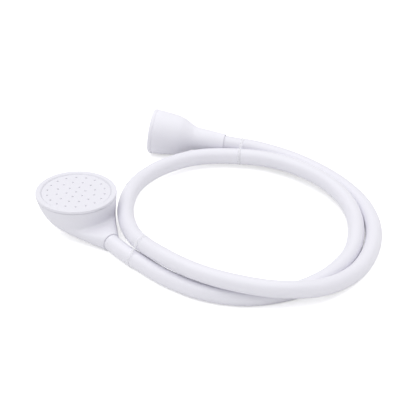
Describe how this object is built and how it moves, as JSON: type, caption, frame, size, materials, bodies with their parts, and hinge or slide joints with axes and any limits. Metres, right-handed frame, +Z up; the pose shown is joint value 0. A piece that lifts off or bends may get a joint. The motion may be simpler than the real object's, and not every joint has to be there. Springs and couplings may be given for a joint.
{
  "type": "handheld shower head",
  "caption": "Round handheld shower head with a fixed hose and a soft push-on cup for a bath tap, the hose looped and held by two ties.",
  "frame": {"origin": "on the surface the part rests on, under the middle of the head's own box, hose and connector left out", "axes": "+X along the head from the spray face to the neck, where the hose leaves it; +Z up, out of the spray face; +Y towards the hose loop"},
  "size_m": [0.2997, 0.2555, 0.0414],
  "materials": {
    "white_plastic": "moulded white ABS, satin gloss",
    "hose_white": "soft white PVC, smooth and slightly matt",
    "cup_rubber": "soft white rubber, matt",
    "clear_plastic": "thin clear film band",
    "grey_silicone": "silicone, matt",
    "natural_acetal": "natural acetal",
    "spring_steel": "stainless, bright",
    "black_rubber": "nitrile rubber, matt"
  },
  "bodies": {
    "hose_line": {"hose": "hose_white", "head_spigot": "natural_acetal", "spigot_o_ring": "black_rubber", "spigot_clip": "spring_steel", "inlet_strainer": "spring_steel", "head_tie": "clear_plastic", "tap_tie": "clear_plastic", "cup_spigot": "natural_acetal", "cup_strainer": "spring_steel", "flow_limiter": "natural_acetal"},
    "head": {"head_shell": "white_plastic", "neck_bush": "natural_acetal", "plate_gasket": "grey_silicone", "spigot_washer": "natural_acetal"},
    "spray_plate": {"spray_plate": "white_plastic", "flow_spreader": "white_plastic"},
    "face_ring": {"face_ring": "white_plastic"},
    "tap_cup": {"tap_cup": "cup_rubber", "cup_washer": "black_rubber"}
  },
  "joints": [
    {"name": "head_swivel", "type": "hinge", "parent": "hose_line", "child": "head", "pos_m": [0.0432, 0, 0.0079], "axis": [1, 0, 0], "range_deg": [0, 170]},
    {"name": "plate_lift", "type": "slide", "parent": "head", "child": "spray_plate", "axis": [0, 0, 1], "range_m": [0, 0.002]},
    {"name": "ring_turn", "type": "hinge", "parent": "spray_plate", "child": "face_ring", "pos_m": [-0.009, 0, 0.031], "axis": [0, 0, 1], "range_deg": [0, 360]},
    {"name": "cup_swivel", "type": "hinge", "parent": "hose_line", "child": "tap_cup", "pos_m": [-0.077, 0.123, 0.02035], "axis": [0.7286, 0.6794, -0.0872], "continuous": true}
  ],
  "couplings": [
    {"joint": "ring_turn", "follows": "plate_lift", "rad_per_m": 3141.6}
  ]
}
